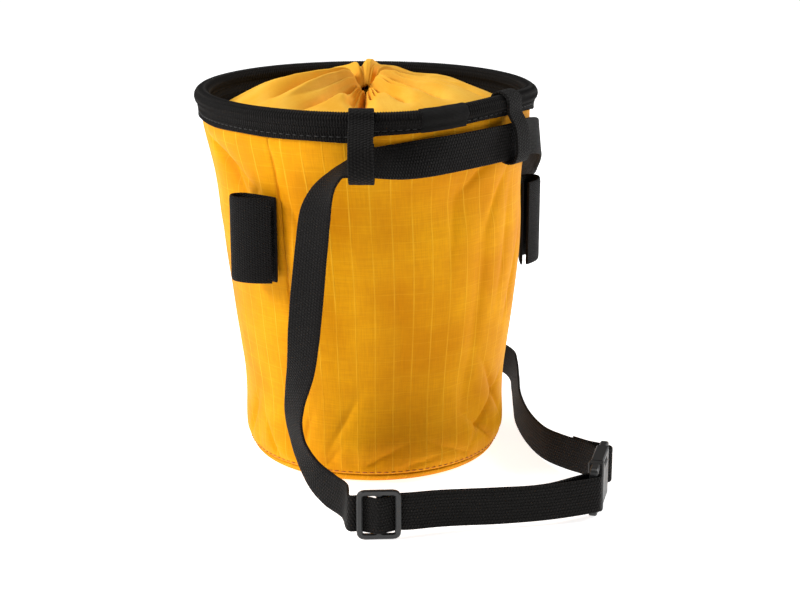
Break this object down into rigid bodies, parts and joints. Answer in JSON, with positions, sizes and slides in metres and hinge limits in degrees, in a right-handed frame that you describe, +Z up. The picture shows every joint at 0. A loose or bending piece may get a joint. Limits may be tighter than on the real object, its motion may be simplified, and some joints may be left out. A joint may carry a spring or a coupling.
{
  "type": "chalk bag",
  "caption": "Drawstring climbing chalk bag with a stiff bound rim, a gathered inner collar, elastic brush holders and a webbing belt with slider and buckle.",
  "frame": {"origin": "centre of the round base, on the surface that the bag stands on", "axes": "+Z up through the bag, -Y towards the panel with the belt loops, +X to its right"},
  "size_m": [0.179, 0.2001, 0.1706],
  "materials": {
    "cloth_yellow": "ripstop weave, matt",
    "collar_yellow": "plain weave, matt",
    "webbing_black": "ribbed webbing",
    "elastic_black": "ribbed elastic",
    "plastic_black": "satin moulded plastic"
  },
  "bodies": {
    "root": {"back_panel": "cloth_yellow", "front_panel": "cloth_yellow", "base_panel": "cloth_yellow", "collar": "collar_yellow", "rim_binding": "webbing_black", "belt_loop_left": "webbing_black", "belt_loop_right": "webbing_black", "belt_strap": "webbing_black", "brush_holder_left": "elastic_black", "brush_holder_right": "elastic_black", "slider": "plastic_black", "buckle_socket": "plastic_black", "buckle_plug": "plastic_black"}
  },
  "joints": []
}
